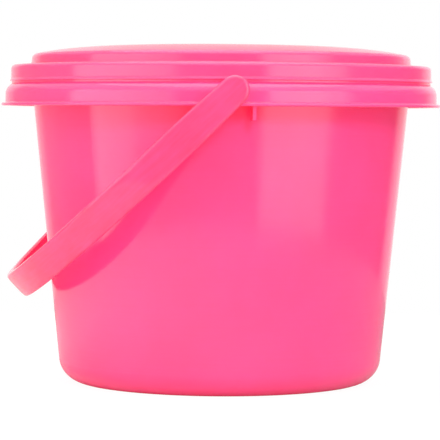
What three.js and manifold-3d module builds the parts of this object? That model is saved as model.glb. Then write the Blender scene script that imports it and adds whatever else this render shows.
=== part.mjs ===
// Brush washing bucket: a tapered pail with a skirted rim, a swinging strap handle, a push-on
// domed lid and, inside, a drop-in palette tray above a drop-in divider with scrubbing ridges.
// Millimetres, +Z up. The origin is the centre of the plane that the foot ring stands on, and
// the handle's pivots lie on a line along Y. Radii are measured from the Z axis.
import * as THREE from 'three';
import * as BufferGeometryUtils from 'three/addons/utils/BufferGeometryUtils.js';
import Module from 'manifold-3d';

const wasm = await Module();
wasm.setup();

// Bucket wall and floor
const floorRadius = 79.7; // outer wall carried down to the standing plane
const rimWallRadius = 94.9; // outer wall at the height of the rim's shoulder
const wall = 1.8;
const floorThickness = 2;
const bottomRound = 12.5; // round between wall and floor, outside
const footWidth = 6;
const footHeight = 1.2;

// Rim of the bucket, from the mouth outwards, and up and down from its shoulder
const shoulderHeight = 149.6;
const ledgeDrop = 2; // seat of the palette tray, below the shoulder
const ledgeWidth = 2.6;
const rimWidth = 6.3; // mouth to the outside of the step that the lid snaps over
const rimRise = 6.9; // top of the step, above the shoulder
const stepBead = 0.65;
const stepBeadDrop = 3.2; // below the top of the step
const shoulderFlat = 0.2;
const shoulderRound = 5.8;
const skirtDepth = 11.7; // shoulder to the underside of the lip
const skirtDraft = 0.3;
const lipWidth = 2.2; // beyond the skirt
const lipThickness = 1.6;

// Ribs under the rim
const ribThickness = 1.6;
const earRibSpacing = 19; // between the two ribs beside each pivot
const earRibDrop = 6.6; // how far they hang below the lip
const earRibInset = 3.6; // of their lower corner, from the skirt
const rimRibCount = 8; // two of these places are taken by the pivots

// Handle
const pivotDrop = 4.3; // below the shoulder
const handleRestAngle = 43.6; // degrees below horizontal, towards -X
const handleReach = 141.8; // pivot line to the outside of the grip
const handleLeg = 41; // straight part of each leg
const strapGap = 1.4; // between the strap and the lip
const strapThickness = 3.2;
const strapWidth = 15.2;
const gripWidth = 14.4;
const gripThickness = 5;
const gripLength = 124;
const headRadius = 6.8;
const strapRound = 1.3;

// Snap pin of the handle and its boss in the skirt
const pinRadius = 2.9;
const pinClearance = 0.3;
const bossWall = 1.3;
const bossLength = 9.1; // from its face to inside the step's wall
const bossProud = 1.2; // beyond the skirt
const collarWidth = 2.3; // round the pin, against the boss
const barbHook = 0.5; // beyond the bore
const barbLength = 1.7;
const pinSlot = 1;

// Lid
const lidWall = 1.5;
const crownStep = 10; // middle of the dome, above the deck over the rim
const crownRise = 4.7; // of the dome, edge to middle
const crownInset = 1; // of the crown's side, from the mouth
const crownDraft = 0.8;
const crownRound = 2.2; // between the dome and the crown's side
const domeFullness = 4.4; // power of the dome's profile: higher is flatter in the middle
const lidSkirtGap = 0.5; // between the lid's edge and the shoulder
const lidSkirtRound = 2;
const lidFlare = 0.5;
const lidClearance = 0.4;
const lidBead = 1.5; // inwards from the inside of the skirt
const lidBeadDrop = 2.1; // below the bead on the step
const plugGap = 0.7; // between the plug ring and the tray's flange

// Palette tray
const trayWall = 1.6;
const trayDepth = 12;
const trayDraft = 4; // radius lost from the flange to the floor
const trayClearance = 0.5;
const trayRibThickness = 1.8;
const tabWidth = 34;
const tabHeight = 12; // above the flange
const tabThickness = 2.4;
const tabRound = 6;

// Divider
const dividerThickness = 2;
const dividerTopGap = 4.4; // below the tray
const dividerClearance = 0.8;
const ridgeCount = 12;
const ridgePitch = 7;
const ridgeStart = 16; // lowest ridge, above the standing plane
const ridgeLength = 96;
const ridgeProud = 1.2;
const railLength = 22;
const railHeight = 3;
const railThickness = 1.6;
const railRadius = 40; // middle of each pair of rails, from the axis

const seatGap = 0.3; // between pieces that rest on each other

// Facets
const roundSteps = 60;
const arcSteps = 2;
const smallSteps = 20;

// Sizes that follow: wall and rim
const taper = (rimWallRadius - floorRadius) / shoulderHeight;
const outerRadius = (z) => floorRadius + taper * z;
const innerRadius = (z) => outerRadius(z) - wall;
const floorTop = footHeight + floorThickness;
const ledgeHeight = shoulderHeight - ledgeDrop;
const rimHeight = shoulderHeight + rimRise;
const stepBeadHeight = rimHeight - stepBeadDrop;
const lipHeight = shoulderHeight - skirtDepth;
const mouthRadius = innerRadius(ledgeHeight) + ledgeWidth;
const stepRadius = mouthRadius + rimWidth;
const skirtRadius = stepRadius + shoulderFlat + shoulderRound;
const lipRadius = skirtRadius + lipWidth;
const shoulderCentre = [skirtRadius - shoulderRound, shoulderHeight - shoulderRound];

// Sizes that follow: handle and pins
const pivotHeight = shoulderHeight - pivotDrop;
const strapInside = lipRadius + strapGap;
const strapOutside = strapInside + strapThickness;
const boreRadius = pinRadius + pinClearance;
const bossRadius = boreRadius + bossWall;
const bossFace = skirtRadius + bossProud;
const collarRadius = pinRadius + collarWidth;
const barbRadius = boreRadius + barbHook;

// Sizes that follow: tray, divider and lid
const flangeBottom = ledgeHeight + seatGap;
const flangeTop = flangeBottom + trayWall;
const dishRadius = innerRadius(ledgeHeight) - trayClearance;
const dishBottom = flangeBottom - trayDepth;
const dividerBottom = floorTop + seatGap;
const dividerTop = dishBottom - dividerTopGap;
const deckHeight = rimHeight + seatGap + lidWall;
const crownHeight = deckHeight + crownStep;
const crownRadius = mouthRadius - crownInset;
const lidSkirtRadius = stepRadius + lidClearance + lidBead + lidWall;
const lidSkirtBottom = shoulderHeight + lidSkirtGap;
const lidBeadHeight = stepBeadHeight - lidBeadDrop;
const degrees = Math.PI / 180;

// Solids

function solidFrom(geometry) {
  const bare = geometry.clone();
  bare.deleteAttribute('normal');
  bare.deleteAttribute('uv');
  const merged = BufferGeometryUtils.mergeVertices(bare);
  const corners = merged.index.array;
  const triangles = [];
  for (let i = 0; i < corners.length; i += 3) {
    const [a, b, c] = [corners[i], corners[i + 1], corners[i + 2]];
    if (a !== b && b !== c && c !== a) triangles.push(a, b, c);
  }
  return new wasm.Manifold(new wasm.Mesh({
    numProp: 3,
    vertProperties: new Float32Array(merged.attributes.position.array),
    triVerts: new Uint32Array(triangles),
  }));
}

function geometryFrom(solid) {
  const mesh = solid.getMesh();
  const geometry = new THREE.BufferGeometry();
  geometry.setAttribute('position', new THREE.BufferAttribute(mesh.vertProperties, 3));
  geometry.setIndex(new THREE.BufferAttribute(mesh.triVerts, 1));
  geometry.computeVertexNormals();
  return geometry;
}

// A profile of radius and height turned about the Z axis; anticlockwise, its faces point out
function turned(profile) {
  const points = profile.getPoints(arcSteps);
  if (THREE.ShapeUtils.area(points) < 0) points.reverse();
  const geometry = new THREE.LatheGeometry(points, roundSteps);
  geometry.rotateX(Math.PI / 2);
  return geometry;
}

// A flat outline in X and Z, given thickness along Y about y = 0
function upright(shape, thickness) {
  const geometry = new THREE.ExtrudeGeometry(shape, {
    depth: thickness,
    bevelEnabled: false,
    curveSegments: 6,
  });
  geometry.translate(0, 0, -thickness / 2);
  geometry.rotateX(Math.PI / 2);
  return geometry;
}

function box(from, to) {
  const size = to.map((high, axis) => high - from[axis]);
  const geometry = new THREE.BoxGeometry(...size);
  geometry.translate(...from.map((low, axis) => low + size[axis] / 2));
  return geometry;
}

function outline(points) {
  return new THREE.Shape(points.map(([x, z]) => new THREE.Vector2(x, z)));
}

function plastic(colour, roughness) {
  return new THREE.MeshStandardMaterial({ color: colour, roughness, metalness: 0 });
}

function named(name, solid, material) {
  const mesh = new THREE.Mesh(geometryFrom(solid), material);
  mesh.name = name;
  return mesh;
}

// Centre of a round of the given radius between a level floor and a tapered wall
function roundCentre(wallAt, floorHeight, radius) {
  const height = floorHeight + radius;
  return [wallAt(height) - radius * Math.hypot(1, taper), height];
}

// Bucket

function bucketProfile() {
  const wallAngle = Math.atan(taper);
  const outside = roundCentre(outerRadius, 0, bottomRound);
  const innerRound = bottomRound - wall;
  const inside = roundCentre(innerRadius, floorTop, innerRound);
  const footInside = outside[0] - footWidth;
  const mouthOutside = mouthRadius + wall;
  const profile = new THREE.Path();
  profile.moveTo(0, footHeight);
  profile.lineTo(footInside - footHeight, footHeight);
  profile.lineTo(footInside, 0);
  profile.lineTo(outside[0], 0);
  profile.absarc(...outside, bottomRound, -Math.PI / 2, -wallAngle, false);

  // The wall steps out round the ledge, then folds over the mouth and down to the shoulder
  profile.lineTo(outerRadius(ledgeHeight - wall), ledgeHeight - wall);
  profile.lineTo(mouthOutside, ledgeHeight - wall);
  profile.lineTo(mouthOutside, rimHeight - wall);
  profile.lineTo(stepRadius - wall, rimHeight - wall);
  profile.lineTo(stepRadius - wall, shoulderHeight - wall);
  profile.lineTo(shoulderCentre[0], shoulderHeight - wall);
  profile.absarc(...shoulderCentre, shoulderRound - wall, Math.PI / 2, 0, true);
  profile.lineTo(skirtRadius - wall + skirtDraft, lipHeight);

  // The lip, and back up the outside of the skirt
  profile.lineTo(lipRadius, lipHeight);
  profile.lineTo(lipRadius, lipHeight + lipThickness);
  profile.lineTo(skirtRadius + skirtDraft, lipHeight + lipThickness);
  profile.lineTo(skirtRadius, shoulderCentre[1]);
  profile.absarc(...shoulderCentre, shoulderRound, 0, Math.PI / 2, false);
  profile.lineTo(stepRadius, shoulderHeight);
  profile.lineTo(stepRadius, stepBeadHeight - 2 * stepBead);
  profile.lineTo(stepRadius + stepBead, stepBeadHeight);
  profile.lineTo(stepRadius, stepBeadHeight + 2 * stepBead);
  profile.lineTo(stepRadius, rimHeight - wall / 3);
  profile.lineTo(stepRadius - wall / 3, rimHeight);

  // Over the rim and down inside the bucket
  profile.lineTo(mouthRadius + wall / 3, rimHeight);
  profile.lineTo(mouthRadius, rimHeight - wall / 3);
  profile.lineTo(mouthRadius, ledgeHeight);
  profile.lineTo(innerRadius(ledgeHeight), ledgeHeight);
  profile.absarc(...inside, innerRound, -wallAngle, -Math.PI / 2, true);
  profile.lineTo(0, floorTop);
  return profile;
}

// A plate in the hollow of the rim, from the wall to the skirt; its edges end inside both
function rimRib(bottom, reachAtBottom) {
  const inWall = wall * 0.6;
  const inMouthWall = mouthRadius + wall / 2;
  const midSkirt = shoulderRound - wall / 2;
  const diagonal = midSkirt * Math.SQRT1_2;
  return upright(outline([
    [outerRadius(bottom) - inWall, bottom],
    [reachAtBottom, bottom],
    [skirtRadius - wall / 2, lipHeight + lipThickness],
    [shoulderCentre[0] + midSkirt, shoulderCentre[1]],
    [shoulderCentre[0] + diagonal, shoulderCentre[1] + diagonal],
    [shoulderCentre[0], shoulderCentre[1] + midSkirt],
    [inMouthWall, shoulderCentre[1] + midSkirt],
    [inMouthWall, ledgeHeight - wall / 2],
    [outerRadius(ledgeHeight - wall) - inWall, ledgeHeight - wall / 2],
  ]), ribThickness);
}

// Two low rails on the floor that hold the divider's edge; along X, on the +X side
function floorRails() {
  const gap = dividerThickness / 2 + seatGap;
  const rails = [1, -1].map((side) => {
    const near = side * gap;
    const far = side * (gap + railThickness);
    return solidFrom(box(
      [railRadius - railLength / 2, Math.min(near, far), floorTop - floorThickness / 2],
      [railRadius + railLength / 2, Math.max(near, far), floorTop + railHeight],
    ));
  });
  return rails[0].add(rails[1]);
}

function bucketBody() {
  let body = solidFrom(turned(bucketProfile()));

  // Ribs beside each pivot, and plain ones at the other places round the rim
  const earRib = rimRib(lipHeight - earRibDrop, skirtRadius - earRibInset);
  const plainRib = rimRib(lipHeight + lipThickness, skirtRadius - wall / 2);
  for (const turn of [-90, 90]) {
    for (const side of [-1, 1]) {
      const rib = earRib.clone().translate(0, side * earRibSpacing / 2, 0);
      body = body.add(solidFrom(rib.rotateZ(turn * degrees)));
    }
  }
  for (let place = 0; place < rimRibCount; place += 1) {
    const angle = (place * 360) / rimRibCount;
    if (angle % 180 === 90) continue;
    body = body.add(solidFrom(plainRib.clone().rotateZ(angle * degrees)));
  }

  for (const turn of [0, 180, 270]) {
    body = body.add(floorRails().rotate([0, 0, turn]));
  }

  // Bored bosses for the handle's pins
  for (const side of [-1, 1]) {
    const boss = new THREE.CylinderGeometry(bossRadius, bossRadius, bossLength, smallSteps);
    boss.translate(0, side * (bossFace - bossLength / 2), pivotHeight);
    const bore = new THREE.CylinderGeometry(boreRadius, boreRadius, bossLength + 2, smallSteps);
    bore.translate(0, side * (bossFace - bossLength / 2), pivotHeight);
    body = body.add(solidFrom(boss)).subtract(solidFrom(bore));
  }
  return body;
}

// Handle, made level, with its grip towards -X and its pivots on the Y axis

// One section of the strap: across X or Y by the station's normal, and wide along Z
function strapSection({ x, y, normal, thickness, width }) {
  const round = Math.min(strapRound, width * 0.4);
  const half = width / 2;
  const corners = [
    [round, half - round, 90],
    [round, round - half, 180],
    [thickness - round, round - half, 270],
    [thickness - round, half - round, 0],
  ];
  const points = [];
  for (const [depth, height, start] of corners) {
    for (const part of [0, 45, 90]) {
      const angle = (start + part) * degrees;
      const inward = depth + round * Math.cos(angle);
      const up = height + round * Math.sin(angle);
      points.push([x - normal[0] * inward, y - normal[1] * inward, up]);
    }
  }
  return points;
}

// Skin over sections that each have as many points, with a flat cap on both ends
function lofted(sections) {
  const ring = sections[0].length;
  const positions = sections.flat(2);
  const index = [];
  for (let s = 0; s + 1 < sections.length; s += 1) {
    for (let p = 0; p < ring; p += 1) {
      const a = s * ring + p;
      const b = s * ring + ((p + 1) % ring);
      index.push(a, b + ring, b, a, a + ring, b + ring);
    }
  }
  const last = (sections.length - 1) * ring;
  for (let p = 1; p + 1 < ring; p += 1) {
    index.push(0, p, p + 1);
    index.push(last, last + p + 1, last + p);
  }
  const geometry = new THREE.BufferGeometry();
  geometry.setAttribute('position', new THREE.Float32BufferAttribute(positions, 3));
  geometry.setIndex(index);
  return geometry;
}

// Stations of one leg from its round head to the bow, on the side of Y given by its sign
function legStations(side) {
  const stations = [];
  const station = (along, width) => stations.push({
    x: -along,
    y: side * strapOutside,
    normal: [0, side],
    thickness: strapThickness,
    width,
  });
  for (const angle of [10, 25, 40, 55, 70, 90]) {
    station(-headRadius * Math.cos(angle * degrees), 2 * headRadius * Math.sin(angle * degrees));
  }
  const swell = 4;
  for (let step = 1; step <= swell; step += 1) {
    const share = step / (swell + 1);
    const width = 2 * headRadius + (strapWidth - 2 * headRadius) * Math.sin(share * Math.PI / 2);
    station(handleLeg * share, width);
  }
  return stations;
}

// Stations round the half-oval bow, with the thicker grip on its inside
function bowStations() {
  const bowReach = handleReach - handleLeg;
  const stations = [];
  const bowSteps = 36;
  const ramp = 4;
  for (let step = 0; step <= bowSteps; step += 1) {
    const angle = (step / bowSteps - 0.5) * Math.PI;
    const y = strapOutside * Math.sin(angle);
    const slope = [-Math.cos(angle) / bowReach, Math.sin(angle) / strapOutside];
    const length = Math.hypot(...slope);
    const inGrip = THREE.MathUtils.clamp((gripLength / 2 + ramp - Math.abs(y)) / ramp, 0, 1);
    stations.push({
      x: -(handleLeg + bowReach * Math.cos(angle)),
      y,
      normal: [slope[0] / length, slope[1] / length],
      thickness: strapThickness + (gripThickness - strapThickness) * inGrip,
      width: strapWidth + (gripWidth - strapWidth) * Math.cos(angle) ** 2,
    });
  }
  return stations;
}

// Collar, pin and split barb on the inside of a head, turned about Y
function snapPin(side) {
  const root = strapInside + strapThickness / 2;
  const collarFace = bossFace + seatGap;
  const barbFace = bossFace - bossLength - seatGap;
  const tip = barbFace - barbLength;
  const profile = new THREE.Path();
  profile.moveTo(0, tip);
  profile.lineTo(pinRadius - pinSlot / 2, tip);
  profile.lineTo(barbRadius, barbFace - barbLength / 3);
  profile.lineTo(barbRadius, barbFace);
  profile.lineTo(pinRadius, barbFace);
  profile.lineTo(pinRadius, collarFace);
  profile.lineTo(collarRadius, collarFace);
  profile.lineTo(collarRadius, root);
  profile.lineTo(0, root);
  const pin = solidFrom(new THREE.LatheGeometry(profile.getPoints(1), smallSteps));
  const slot = solidFrom(box(
    [-pinSlot / 2, tip - 1, -barbRadius - 1],
    [pinSlot / 2, barbFace + bossLength / 2, barbRadius + 1],
  ));
  const turn = side > 0 ? 0 : 180;
  return pin.subtract(slot).rotate([0, 0, turn]);
}

function handleStrap() {
  const stations = [...legStations(-1), ...bowStations(), ...legStations(1).reverse()];
  let handle = solidFrom(lofted(stations.map(strapSection)));
  for (const side of [-1, 1]) handle = handle.add(snapPin(side));
  return handle;
}

// Lid

const domeHeight = (radius) => crownHeight - crownRise * (radius / crownRadius) ** domeFullness;

function lidProfile() {
  const edgeRound = lidWall / 2;
  const skirtInside = lidSkirtRadius - lidWall;
  const beadInside = stepRadius + lidClearance;
  const plugOutside = mouthRadius - lidClearance;
  const plugInside = plugOutside - lidWall;
  const plugBottom = flangeTop + plugGap;
  const underDome = crownRadius - lidWall;
  const domeShares = [0.35, 0.55, 0.7, 0.82, 0.92];
  const profile = new THREE.Path();
  profile.moveTo(0, crownHeight);
  for (const share of domeShares) {
    profile.lineTo(crownRadius * share, domeHeight(crownRadius * share));
  }
  const crownEdge = domeHeight(crownRadius);
  profile.lineTo(crownRadius - crownRound, domeHeight(crownRadius - crownRound));
  profile.quadraticCurveTo(crownRadius, crownEdge, crownRadius, crownEdge - crownRound);
  profile.lineTo(crownRadius + crownDraft, deckHeight);

  // The deck over the rim, and the skirt with its flared edge
  profile.lineTo(lidSkirtRadius - lidSkirtRound, deckHeight);
  const corner = [lidSkirtRadius - lidSkirtRound, deckHeight - lidSkirtRound];
  profile.absarc(...corner, lidSkirtRound, Math.PI / 2, 0, true);
  profile.lineTo(lidSkirtRadius, lidSkirtBottom + 3 * lidFlare);
  profile.lineTo(lidSkirtRadius + lidFlare, lidSkirtBottom + lidFlare);
  profile.lineTo(lidSkirtRadius + lidFlare, lidSkirtBottom);

  // The snap bead, the channel over the rim and the plug ring in the mouth
  profile.lineTo(skirtInside, lidSkirtBottom);
  profile.lineTo(beadInside, lidBeadHeight - lidClearance);
  profile.lineTo(beadInside, lidBeadHeight + lidClearance);
  profile.lineTo(skirtInside, lidBeadHeight + lidWall);
  profile.lineTo(skirtInside, deckHeight - lidWall);
  profile.lineTo(plugOutside, deckHeight - lidWall);
  profile.lineTo(plugOutside, plugBottom + edgeRound);
  profile.lineTo(plugOutside - edgeRound, plugBottom);
  profile.lineTo(plugInside, plugBottom);
  profile.lineTo(plugInside, deckHeight - lidWall);
  profile.lineTo(underDome, domeHeight(underDome) - lidWall);
  for (const share of [...domeShares].reverse()) {
    const radius = underDome * share;
    profile.lineTo(radius, domeHeight(radius) - lidWall);
  }
  profile.lineTo(0, crownHeight - lidWall);
  return profile;
}

// Palette tray

function trayProfile() {
  const flangeRadius = mouthRadius - trayClearance;
  const floorEdge = dishRadius - trayDraft;
  const profile = new THREE.Path();
  profile.moveTo(0, dishBottom);
  profile.lineTo(floorEdge - trayWall, dishBottom);
  profile.lineTo(floorEdge, dishBottom + trayWall);
  profile.lineTo(dishRadius, flangeBottom);
  profile.lineTo(flangeRadius, flangeBottom);
  profile.lineTo(flangeRadius, flangeTop);
  profile.lineTo(dishRadius - trayWall, flangeTop);
  profile.lineTo(floorEdge - trayWall, dishBottom + 2 * trayWall);
  profile.lineTo(floorEdge - 2 * trayWall, dishBottom + trayWall);
  profile.lineTo(0, dishBottom + trayWall);
  return profile;
}

// Outline of a rib across the dish, from the axis out into its sloping wall
function trayRibShape(inner) {
  const bottom = dishBottom + trayWall / 2;
  return outline([
    [inner, bottom],
    [dishRadius - trayDraft - trayWall, bottom],
    [dishRadius - trayWall / 2, flangeBottom],
    [inner, flangeBottom],
  ]);
}

function paletteTray() {
  let tray = solidFrom(turned(trayProfile()));
  const halfRib = upright(trayRibShape(0), trayRibThickness);
  for (const angle of [0, 60, 120, 180]) {
    tray = tray.add(solidFrom(halfRib.clone().rotateZ(angle * degrees)));
  }

  // The tab that lifts the tray stands on the rib across the middle
  const bottom = dishBottom + trayWall / 2;
  const top = flangeTop + tabHeight;
  const half = tabWidth / 2;
  const shape = new THREE.Shape();
  shape.moveTo(-half, bottom);
  shape.lineTo(half, bottom);
  shape.lineTo(half, top - tabRound);
  shape.absarc(half - tabRound, top - tabRound, tabRound, 0, Math.PI / 2, false);
  shape.absarc(tabRound - half, top - tabRound, tabRound, Math.PI / 2, Math.PI, false);
  return tray.add(solidFrom(upright(shape, tabThickness)));
}

// Divider

// Half of the wall's outline, from the axis to just inside the bucket's tapered wall
function vaneShape() {
  const round = bottomRound - wall;
  const centre = roundCentre((z) => innerRadius(z) - dividerClearance, dividerBottom, round);
  const shape = new THREE.Shape();
  shape.moveTo(0, dividerBottom);
  shape.lineTo(centre[0], dividerBottom);
  shape.absarc(...centre, round, -Math.PI / 2, -Math.atan(taper), false);
  const topRadius = innerRadius(dividerTop) - dividerClearance;
  const topRound = round / 2;
  shape.lineTo(topRadius - taper * topRound, dividerTop - topRound);
  shape.lineTo(topRadius - topRound, dividerTop);
  shape.lineTo(0, dividerTop);
  return shape;
}

function washDivider() {
  const vane = solidFrom(upright(vaneShape(), dividerThickness));
  let divider = vane.add(vane.rotate([0, 0, 180])).add(vane.rotate([0, 0, 270]));

  // Scrubbing ridges, one above another on the side of the large compartment
  const ridge = new THREE.Shape();
  ridge.moveTo(0, -ridgeProud);
  ridge.lineTo(dividerThickness / 4 + ridgeProud, 0);
  ridge.lineTo(0, ridgeProud);
  const bar = new THREE.ExtrudeGeometry(ridge, { depth: ridgeLength, bevelEnabled: false });
  bar.translate(0, 0, -ridgeLength / 2);
  const [alongX, alongY, alongZ] = [[1, 0, 0], [0, 1, 0], [0, 0, 1]];
  const axes = [alongY, alongZ, alongX].map((axis) => new THREE.Vector3(...axis));
  bar.applyMatrix4(new THREE.Matrix4().makeBasis(...axes));
  const face = dividerThickness / 4;
  for (let place = 0; place < ridgeCount; place += 1) {
    const height = ridgeStart + place * ridgePitch;
    divider = divider.add(solidFrom(bar.clone().translate(0, face, height)));
  }
  return divider;
}

const pink = plastic('#fd4f90', 0.22);
const white = plastic('#f3f1ec', 0.3);

const bucket = new THREE.Group();
bucket.add(named('bucket_body', bucketBody(), pink));

const handlePivot = new THREE.Group();
handlePivot.position.set(0, 0, pivotHeight);
handlePivot.rotation.y = -handleRestAngle * degrees;
handlePivot.add(named('handle', handleStrap(), pink));
bucket.add(handlePivot);

bucket.add(named('lid', solidFrom(turned(lidProfile())), pink));
bucket.add(named('palette_tray', paletteTray(), white));
bucket.add(named('wash_divider', washDivider(), pink));

export default bucket;
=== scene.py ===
# Brush washing bucket in glossy pink polypropylene, lid on, strap handle hanging to the left.
import math

import bmesh
import bpy
from mathutils import Matrix, Vector


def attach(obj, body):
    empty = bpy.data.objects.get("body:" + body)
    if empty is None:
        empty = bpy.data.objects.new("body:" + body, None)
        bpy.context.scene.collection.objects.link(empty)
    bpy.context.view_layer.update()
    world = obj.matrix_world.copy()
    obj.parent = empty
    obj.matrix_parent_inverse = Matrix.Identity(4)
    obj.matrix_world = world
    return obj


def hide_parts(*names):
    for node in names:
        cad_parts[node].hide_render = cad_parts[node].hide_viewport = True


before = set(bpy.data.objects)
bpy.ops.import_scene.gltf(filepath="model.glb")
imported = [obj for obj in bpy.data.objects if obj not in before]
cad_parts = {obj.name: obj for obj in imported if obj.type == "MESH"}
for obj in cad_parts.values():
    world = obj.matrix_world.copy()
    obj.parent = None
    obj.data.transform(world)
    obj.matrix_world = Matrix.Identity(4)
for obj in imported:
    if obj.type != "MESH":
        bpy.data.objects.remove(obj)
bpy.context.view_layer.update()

mm = 0.001  # everything is modelled in millimetres and scaled to metres once, at the end
quarterTurn = math.pi / 2
fullTurn = 2 * math.pi
touching = 1e-3  # points this near to each other count as one
pastCut = 1.0  # how far a cutter reaches past what it cuts


# Shared modelling

smoothing = {
    "cornerSteps": 4,  # in a quarter turn of a 1 mm round
    "sharpAngle": 34,
    "flatWeight": 60,
}


# rounds one corner of a flat outline, with more steps on a larger round
def roundCorner(bm, vert, radius):
    towards = [edge.other_vert(vert).co - vert.co for edge in vert.link_edges]
    turn = math.pi - towards[0].angle(towards[1])
    steps = max(2, round(smoothing["cornerSteps"] * math.sqrt(radius) * turn / quarterTurn))
    bmesh.ops.bevel(bm, geom=[vert], offset=radius * math.tan(turn / 2), offset_type="OFFSET",
                    affect="VERTICES", segments=steps, profile=0.5, material=-1,
                    clamp_overlap=False)


# one upright face from corners of (across, height, round)
def outlineFace(bm, corners):
    verts = [bm.verts.new((corner[0], 0, corner[1])) for corner in corners]
    bm.faces.new(verts)
    for vert, corner in zip(verts, corners):
        if len(corner) > 2:
            roundCorner(bm, vert, corner[2])
    return bm.faces[:][0]


# an outline turned about the z axis; an edge that lies on the axis is dropped first
def turnedSolid(corners, steps):
    bm = bmesh.new()
    outlineFace(bm, corners)
    bmesh.ops.delete(bm, geom=bm.faces[:], context="FACES_ONLY")
    onAxis = [e for e in bm.edges if all(abs(v.co.x) < touching for v in e.verts)]
    bmesh.ops.delete(bm, geom=onAxis, context="EDGES")
    bmesh.ops.spin(bm, geom=bm.verts[:] + bm.edges[:], cent=(0, 0, 0), axis=(0, 0, 1),
                   angle=fullTurn, steps=steps, use_merge=True)
    return closed(bm)


# an upright outline with thickness about y = 0 and softened rims
def plateSolid(corners, thickness, rimRound=0.0):
    bm = bmesh.new()
    face = outlineFace(bm, corners)
    grown = bmesh.ops.extrude_face_region(bm, geom=[face], use_keep_orig=True)["geom"]
    moved = [g for g in grown if isinstance(g, bmesh.types.BMVert)]
    bmesh.ops.translate(bm, vec=(0, thickness, 0), verts=moved)
    bmesh.ops.translate(bm, vec=(0, -thickness / 2, 0), verts=bm.verts[:])
    closed(bm)
    if rimRound:
        rims = [e for e in bm.edges if any(abs(f.normal.y) > 0.99 for f in e.link_faces)
                and not all(abs(f.normal.y) > 0.99 for f in e.link_faces)]
        bmesh.ops.bevel(bm, geom=rims, offset=rimRound, offset_type="OFFSET", affect="EDGES",
                        segments=2, profile=0.5, material=-1, clamp_overlap=True)
    return bm


# a box between its lowest and highest corners
def boxSolid(low, high, edgeRound=0.0):
    bm = bmesh.new()
    bmesh.ops.create_cube(bm, size=1)
    size = [b - a for a, b in zip(low, high)]
    centre = [(a + b) / 2 for a, b in zip(low, high)]
    bmesh.ops.scale(bm, vec=size, verts=bm.verts[:])
    bmesh.ops.translate(bm, vec=centre, verts=bm.verts[:])
    if edgeRound:
        bmesh.ops.bevel(bm, geom=bm.edges[:], offset=edgeRound, offset_type="OFFSET",
                        affect="EDGES", segments=2, profile=0.5, material=-1,
                        clamp_overlap=True)
    return bm


# a round bar along y between two faces
def barSolid(radius, fromY, toY, height, steps):
    bm = bmesh.new()
    bmesh.ops.create_cone(bm, cap_ends=True, segments=steps, radius1=radius, radius2=radius,
                          depth=abs(toY - fromY))
    bmesh.ops.rotate(bm, cent=(0, 0, 0), matrix=Matrix.Rotation(quarterTurn, 3, "X"),
                     verts=bm.verts[:])
    bmesh.ops.translate(bm, vec=(0, (fromY + toY) / 2, height), verts=bm.verts[:])
    return bm


# merged where it meets itself, with its faces turned outwards
def closed(bm):
    bmesh.ops.remove_doubles(bm, verts=bm.verts[:], dist=touching)
    bmesh.ops.recalc_face_normals(bm, faces=bm.faces[:])
    return bm


# the same solid, turned about the z axis
def turnedBy(bm, degrees):
    bmesh.ops.rotate(bm, cent=(0, 0, 0), matrix=Matrix.Rotation(math.radians(degrees), 3, "Z"),
                     verts=bm.verts[:])
    return bm


# several solids that don't touch each other, as one
def gathered(solids):
    whole = bmesh.new()
    for solid in solids:
        scratch = bpy.data.meshes.new("scratch")
        solid.to_mesh(scratch)
        solid.free()
        whole.from_mesh(scratch)
        bpy.data.meshes.remove(scratch)
    return whole


# an object to work on, for what only a modifier can do
def workObject(bm):
    mesh = bpy.data.meshes.new("work")
    bm.to_mesh(mesh)
    bm.free()
    made = bpy.data.objects.new("work", mesh)
    bpy.context.scene.collection.objects.link(made)
    return made


# the mesh as the object's modifiers leave it
def evaluatedMesh(made):
    graph = bpy.context.evaluated_depsgraph_get()
    return bpy.data.meshes.new_from_object(made.evaluated_get(graph))


# joins or cuts solids; each step is (operation, solid)
def combined(base, steps):
    made = workObject(base)
    for operation, solid in steps:
        other = workObject(solid)
        cut = made.modifiers.new("cut", "BOOLEAN")
        cut.operation = operation
        cut.solver = "EXACT"
        cut.object = other
        mesh = evaluatedMesh(made)
        made.modifiers.clear()
        made.data = mesh
        bpy.data.objects.remove(other)
    bm = bmesh.new()
    bm.from_mesh(made.data)
    bpy.data.objects.remove(made)
    return bm


# the finished object: in metres, smooth apart from real edges, riding on its body
def finishedPiece(name, bm, body, node, material):
    bmesh.ops.remove_doubles(bm, verts=bm.verts[:], dist=touching)
    bmesh.ops.scale(bm, vec=(mm, mm, mm), verts=bm.verts[:])
    mesh = bpy.data.meshes.new(name)
    bm.to_mesh(mesh)
    bm.free()
    mesh.polygons.foreach_set("use_smooth", [True] * len(mesh.polygons))
    mesh.set_sharp_from_angle(angle=math.radians(smoothing["sharpAngle"]))
    piece = bpy.data.objects.new(name, mesh)
    bpy.context.scene.collection.objects.link(piece)
    mesh.materials.append(material)
    flats = piece.modifiers.new("flats", "WEIGHTED_NORMAL")
    flats.keep_sharp = True
    flats.weight = smoothing["flatWeight"]
    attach(piece, body)
    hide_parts(node)
    print("made", name, len(mesh.polygons), "faces")
    return piece


# Pail

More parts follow.
